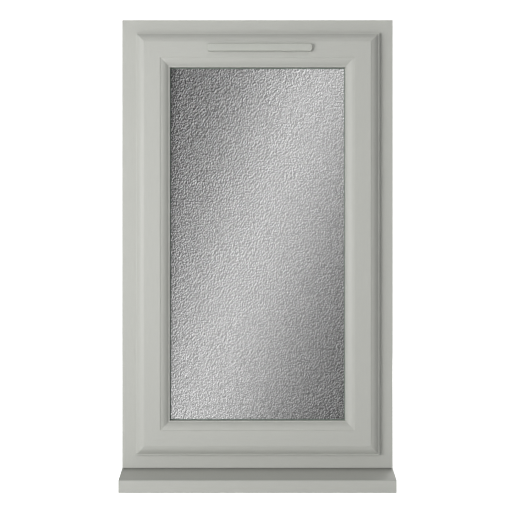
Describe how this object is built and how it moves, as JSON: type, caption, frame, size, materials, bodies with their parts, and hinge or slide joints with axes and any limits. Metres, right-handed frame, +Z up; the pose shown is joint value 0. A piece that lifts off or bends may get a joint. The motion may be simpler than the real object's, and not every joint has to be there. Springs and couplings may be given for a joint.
{
  "type": "casement window",
  "caption": "Grey grained plastic casement window with obscure double glazing, trickle vent and projecting sill, opening outwards on friction stays.",
  "frame": {"origin": "middle of the sill's underside, below the frame's outer face", "axes": "+X right as seen from outside, +Y into the room, +Z up"},
  "size_m": [0.61, 0.169, 1.052],
  "materials": {
    "foiled_frame_upvc": "grained grey foil",
    "foiled_sash_upvc": "grained grey foil",
    "foiled_bead_upvc": "grained grey foil",
    "foiled_sill_upvc": "grained grey foil",
    "moulded_grey_plastic": "fine moulded texture",
    "painted_vent": "powder coated",
    "galvanised_steel": "hot-dip galvanised",
    "seal_rubber": "matt",
    "stay_stainless_steel": "brushed",
    "rivet_steel": "turned",
    "black_nylon": "moulded",
    "shoe_brass": "satin",
    "zinc_screw_steel": "zinc plated",
    "keep_zinc_alloy": "die cast",
    "plated_lock_steel": "zinc plated",
    "gearbox_zinc_alloy": "die cast",
    "handle_satin_metal": "satin",
    "button_chrome": "polished",
    "clear_glass": "clear float",
    "patterned_glass": "stippled obscure",
    "spacer_grey": "warm-edge bar",
    "sealant_black": "matt sealant"
  },
  "bodies": {
    "frame": {"frame_bottom_rail": "foiled_frame_upvc", "frame_head": "foiled_frame_upvc", "frame_hinge_jamb": "foiled_frame_upvc", "frame_lock_jamb": "foiled_frame_upvc", "frame_steels": "galvanised_steel", "frame_inner_seal": "seal_rubber", "sill": "foiled_sill_upvc", "sill_end_caps": "moulded_grey_plastic", "sill_screws": "zinc_screw_steel", "stay_tracks": "stay_stainless_steel", "stay_fixed_pins": "rivet_steel", "stay_end_caps": "black_nylon", "stay_track_screws": "zinc_screw_steel", "run_up_block": "black_nylon", "keep_lower": "keep_zinc_alloy", "keep_upper": "keep_zinc_alloy", "keep_screws": "zinc_screw_steel"},
    "nose_links": {"stay_nose_links": "stay_stainless_steel", "stay_nose_pins": "rivet_steel"},
    "sash": {"sash_bottom_rail": "foiled_sash_upvc", "sash_top_rail": "foiled_sash_upvc", "sash_hinge_stile": "foiled_sash_upvc", "sash_lock_stile": "foiled_sash_upvc", "sash_steels": "galvanised_steel", "sash_outer_seal": "seal_rubber", "patterned_pane": "patterned_glass", "inner_pane": "clear_glass", "edge_sealant": "sealant_black", "spacer_bar": "spacer_grey", "outer_glazing_gasket": "seal_rubber", "bead_gasket": "seal_rubber", "glazing_bead_bottom": "foiled_bead_upvc", "glazing_bead_top": "foiled_bead_upvc", "glazing_bead_hinge": "foiled_bead_upvc", "glazing_bead_lock": "foiled_bead_upvc", "glazing_packers": "black_nylon", "stay_sash_arms": "stay_stainless_steel", "stay_arm_screws": "zinc_screw_steel", "lock_faceplate": "plated_lock_steel", "lock_gearbox_case": "gearbox_zinc_alloy", "faceplate_screws": "zinc_screw_steel", "handle_base": "handle_satin_metal", "handle_screws": "zinc_screw_steel", "vent_canopy": "painted_vent", "vent_body": "moulded_grey_plastic", "vent_screws": "zinc_screw_steel"},
    "centre_links": {"stay_centre_links": "stay_stainless_steel", "stay_centre_pins": "rivet_steel"},
    "long_arms": {"stay_long_arms": "stay_stainless_steel", "stay_arm_pins": "rivet_steel"},
    "shoes": {"stay_shoes": "shoe_brass", "stay_shoe_pins": "rivet_steel"},
    "handle": {"handle_lever": "handle_satin_metal", "handle_spindle": "rivet_steel", "lock_pinion": "gearbox_zinc_alloy"},
    "lock_button": {"lock_button": "button_chrome"},
    "lock_drive": {"lock_drive_bar": "plated_lock_steel", "locking_cams": "rivet_steel"},
    "vent_flap": {"vent_flap": "moulded_grey_plastic"}
  },
  "joints": [
    {"name": "stay_nose_pivot", "type": "hinge", "parent": "frame", "child": "nose_links", "pos_m": [-0.186, 0.012, 0.042], "axis": [0, 0, 1], "range_deg": [0, 60]},
    {"name": "sash_swing", "type": "hinge", "parent": "nose_links", "child": "sash", "pos_m": [-0.243, 0.012, 0.042], "axis": [0, 0, -1], "range_deg": [0, 120]},
    {"name": "stay_centre_pivot", "type": "hinge", "parent": "frame", "child": "centre_links", "pos_m": [-0.186, 0.012, 0.042], "axis": [0, 0, -1], "range_deg": [0, 60]},
    {"name": "stay_long_pivot", "type": "hinge", "parent": "centre_links", "child": "long_arms", "pos_m": [-0.129, 0.012, 0.042], "axis": [0, 0, 1], "range_deg": [0, 120]},
    {"name": "stay_shoe_pivot", "type": "hinge", "parent": "long_arms", "child": "shoes", "pos_m": [-0.072, 0.012, 0.042], "axis": [0, 0, -1], "range_deg": [0, 60]},
    {"name": "handle_turn", "type": "hinge", "parent": "sash", "child": "handle", "pos_m": [0.2315, 0.049, 0.547], "axis": [0, -1, 0], "range_deg": [0, 90]},
    {"name": "lock_drive_slide", "type": "slide", "parent": "sash", "child": "lock_drive", "axis": [0, 0, 1], "range_m": [0, 0.02]},
    {"name": "lock_button_push", "type": "slide", "parent": "handle", "child": "lock_button", "axis": [0, -1, 0], "range_m": [0, 0.003], "stiffness_N_per_m": 400},
    {"name": "vent_flap_swing", "type": "hinge", "parent": "sash", "child": "vent_flap", "pos_m": [0.005, 0.0586, 0.99], "axis": [1, 0, 0], "range_deg": [0, 35]}
  ],
  "couplings": [
    {"joint": "stay_nose_pivot", "follows": "sash_swing", "ratio": 0.5},
    {"joint": "stay_centre_pivot", "follows": "sash_swing", "ratio": 0.5},
    {"joint": "stay_long_pivot", "follows": "sash_swing", "ratio": 1},
    {"joint": "stay_shoe_pivot", "follows": "sash_swing", "ratio": 0.5},
    {"joint": "lock_drive_slide", "follows": "handle_turn", "m_per_rad": 0.012732}
  ]
}
